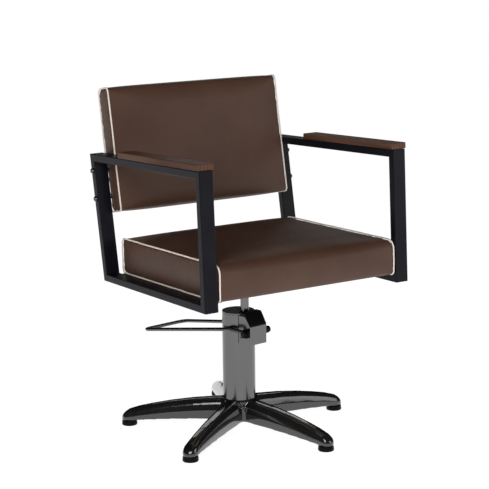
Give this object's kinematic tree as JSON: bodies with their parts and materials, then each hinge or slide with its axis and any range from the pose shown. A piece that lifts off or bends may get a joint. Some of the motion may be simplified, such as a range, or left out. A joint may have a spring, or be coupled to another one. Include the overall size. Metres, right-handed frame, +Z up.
{
  "type": "hydraulic styling chair",
  "caption": "Salon styling chair: padded seat and back in rectangular tube frames with wooden armrests, swivelling on a foot-pumped hydraulic column with a star base.",
  "frame": {"origin": "middle of the whole chair's footprint, on the floor", "axes": "+Z up, -Y towards the front of the chair, +X to the sitter's left"},
  "size_m": [0.6162, 0.639, 0.8905],
  "materials": {
    "leather": "semi-matte, fine grain",
    "foam_pad": "leather-covered foam",
    "piping": "satin",
    "frame_paint": "satin powder coat",
    "walnut": "oiled",
    "plywood": "raw",
    "column_metal": "satin",
    "chrome": "polished",
    "base_gloss": "gloss black coat",
    "black_plastic": "moulded",
    "steel": "zinc plated",
    "bronze": "turned"
  },
  "bodies": {
    "root": {"star_base": "base_gloss", "foot_glide_1": "black_plastic", "foot_glide_2": "black_plastic", "foot_glide_3": "black_plastic", "foot_glide_4": "black_plastic", "foot_glide_5": "black_plastic", "base_nut": "steel", "pump_casing": "column_metal", "casing_cap": "column_metal", "oil_tank": "steel", "pump_head": "column_metal", "head_cover": "black_plastic", "rod_barrel": "steel", "rod_seal": "black_plastic", "plunger_spring": "steel"},
    "lift": {"piston_rod": "chrome"},
    "seat": {"back_bolt_left_1": "base_gloss", "back_bolt_left_2": "base_gloss", "back_bolt_right_1": "base_gloss", "back_bolt_right_2": "base_gloss", "pad_screw_left_1": "steel", "pad_screw_left_2": "steel", "pad_screw_right_1": "steel", "pad_screw_right_2": "steel", "seat_screw_front_left": "steel", "seat_screw_front_right": "steel", "seat_screw_rear_left": "steel", "seat_screw_rear_right": "steel", "swivel_bush": "bronze", "bottom_tube_left": "frame_paint", "rear_tube_left": "frame_paint", "arm_tube_left": "frame_paint", "front_tube_left": "frame_paint", "bottom_tube_right": "frame_paint", "rear_tube_right": "frame_paint", "arm_tube_right": "frame_paint", "front_tube_right": "frame_paint", "cross_bar_front": "frame_paint", "cross_bar_rear": "frame_paint", "seat_plate": "frame_paint", "seat_rail_left": "frame_paint", "seat_rail_right": "frame_paint", "armrest_pad_left": "walnut", "armrest_pad_right": "walnut", "seat_board": "plywood", "back_board": "plywood", "back_cover": "leather", "seat_cushion": "foam_pad", "back_cushion": "foam_pad", "seat_piping_left": "piping", "seat_piping_right": "piping", "back_piping_left": "piping", "back_piping_right": "piping"},
    "pedal": {"pedal_loop": "base_gloss", "pedal_shaft": "steel", "pedal_cap_left": "black_plastic", "pedal_cap_right": "black_plastic", "pump_rocker": "steel"},
    "plunger": {"pump_plunger": "steel"}
  },
  "joints": [
    {"name": "seat_lift", "type": "slide", "parent": "root", "child": "lift", "axis": [0, 0, 1], "range_m": [0, 0.14]},
    {"name": "seat_swivel", "type": "hinge", "parent": "lift", "child": "seat", "pos_m": [-0.0013, -0.0256, 0.384], "axis": [0, 0, 1], "continuous": true},
    {"name": "pedal_pivot", "type": "hinge", "parent": "root", "child": "pedal", "pos_m": [0.00454, -0.06719, 0.27], "axis": [0.9903, 0.1392, 0], "range_deg": [-18, 6], "stiffness_Nm_per_rad": 14, "springref_deg": 2.86},
    {"name": "plunger_slide", "type": "slide", "parent": "root", "child": "plunger", "axis": [0, 0, 1], "range_m": [-0.0053, 0.0018], "deforming": ["plunger_spring"]}
  ],
  "couplings": [
    {"joint": "plunger_slide", "follows": "pedal_pivot", "m_per_rad": 0.016}
  ]
}
